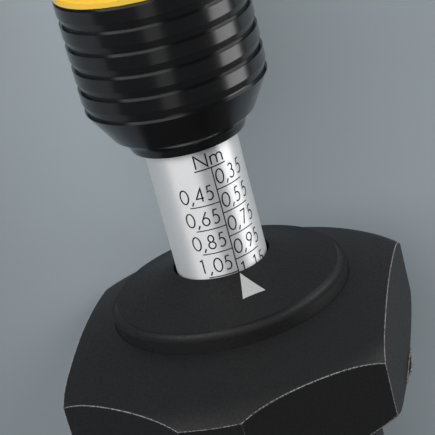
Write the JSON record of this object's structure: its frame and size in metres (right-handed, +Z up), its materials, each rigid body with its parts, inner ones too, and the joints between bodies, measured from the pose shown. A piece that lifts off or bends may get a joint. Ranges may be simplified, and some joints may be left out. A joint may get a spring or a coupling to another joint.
{
  "type": "torque screwdriver",
  "caption": "Adjustable torque screwdriver with a waisted black handle, a printed scale tube read at the handle's face, a click clutch inside and a quick-release bit chuck.",
  "frame": {"origin": "centre of the flange's lower flat, on the surface that the tool lies on", "axes": "+X along the tool's axis towards the bit, +Z up through the pointer, +Y to the left of +X"},
  "size_m": [0.1625, 0.0402, 0.0378],
  "materials": {
    "textured_black": "fine spark-eroded texture, near black",
    "gloss_black": "smooth gloss black",
    "signal_yellow": "satin warm yellow",
    "pointer_grey": "light grey inlay",
    "satin_tube": "satin silver with black printed scale",
    "steel": "turned steel",
    "hardened_steel": "ground hardened steel",
    "spring_steel": "oiled spring steel",
    "ball_steel": "polished balls",
    "bronze": "plain bearing bronze",
    "nickel": "nickel-plated magnet",
    "nylon": "natural nylon cage",
    "rubber": "soft washer"
  },
  "bodies": {
    "handle": {"handle_core": "textured_black", "front_boss": "textured_black", "pointer": "pointer_grey", "front_bush": "bronze", "clutch_housing": "steel", "fixed_clutch_ring": "hardened_steel", "ring_dowels": "hardened_steel", "rear_plate": "steel", "rear_clip": "spring_steel"},
    "setting_knob": {"setting_knob": "textured_black", "lead_screw": "steel", "knob_screw": "steel", "knob_cap": "gloss_black", "friction_washer": "rubber"},
    "travel_nut": {"travel_nut": "bronze", "rear_race": "hardened_steel", "bearing_cage": "nylon", "bearing_balls": "ball_steel"},
    "front_unit": {"front_race": "hardened_steel", "shaft_collar": "steel", "collar_pin": "hardened_steel", "rear_spring_seat": "hardened_steel", "main_spring": "spring_steel", "drive_shaft": "steel", "scale_tube": "satin_tube", "chuck_body": "steel", "chuck_pin": "hardened_steel", "socket_magnet": "nickel", "chuck_clip": "spring_steel", "chuck_spring": "spring_steel"},
    "clutch_ring": {"driven_clutch_ring": "hardened_steel", "clutch_balls": "ball_steel", "front_spring_seat": "hardened_steel"},
    "release_sleeve": {"release_sleeve": "steel"},
    "grip_sleeve": {"ribbed_sleeve": "gloss_black", "window_ring": "signal_yellow", "front_ring": "gloss_black"},
    "left_lock_ball": {"lock_ball_left": "ball_steel"},
    "right_lock_ball": {"lock_ball_right": "ball_steel"}
  },
  "joints": [
    {"name": "knob_turn", "type": "hinge", "parent": "handle", "child": "setting_knob", "pos_m": [0, 0, 0.0189], "axis": [1, 0, 0], "range_deg": [-2700, 540]},
    {"name": "nut_slide", "type": "slide", "parent": "handle", "child": "travel_nut", "axis": [1, 0, 0], "range_m": [-0.00937, 0.00187]},
    {"name": "clutch_slip", "type": "hinge", "parent": "travel_nut", "child": "front_unit", "pos_m": [0, 0, 0.0189], "axis": [1, 0, 0], "continuous": true},
    {"name": "ring_slide", "type": "slide", "parent": "front_unit", "child": "clutch_ring", "axis": [1, 0, 0], "range_m": [-0.0019, 0.0094], "deforming": ["main_spring"]},
    {"name": "sleeve_release", "type": "slide", "parent": "front_unit", "child": "release_sleeve", "axis": [1, 0, 0], "range_m": [0, 0.003], "stiffness_N_per_m": 800, "springref_m": -0.004, "deforming": ["chuck_spring"]},
    {"name": "sleeve_spin", "type": "hinge", "parent": "release_sleeve", "child": "grip_sleeve", "pos_m": [0, 0, 0.0189], "axis": [1, 0, 0], "continuous": true},
    {"name": "left_ball_move", "type": "slide", "parent": "front_unit", "child": "left_lock_ball", "axis": [0, 1, 0], "range_m": [0, 0.00061]},
    {"name": "right_ball_move", "type": "slide", "parent": "front_unit", "child": "right_lock_ball", "axis": [0, -1, 0], "range_m": [0, 0.00061]}
  ],
  "couplings": [
    {"joint": "knob_turn", "follows": "nut_slide", "rad_per_m": 5026.5},
    {"joint": "ring_slide", "follows": "nut_slide", "ratio": -1},
    {"joint": "left_ball_move", "follows": "sleeve_release", "ratio": 0.2},
    {"joint": "right_ball_move", "follows": "sleeve_release", "ratio": 0.2}
  ]
}
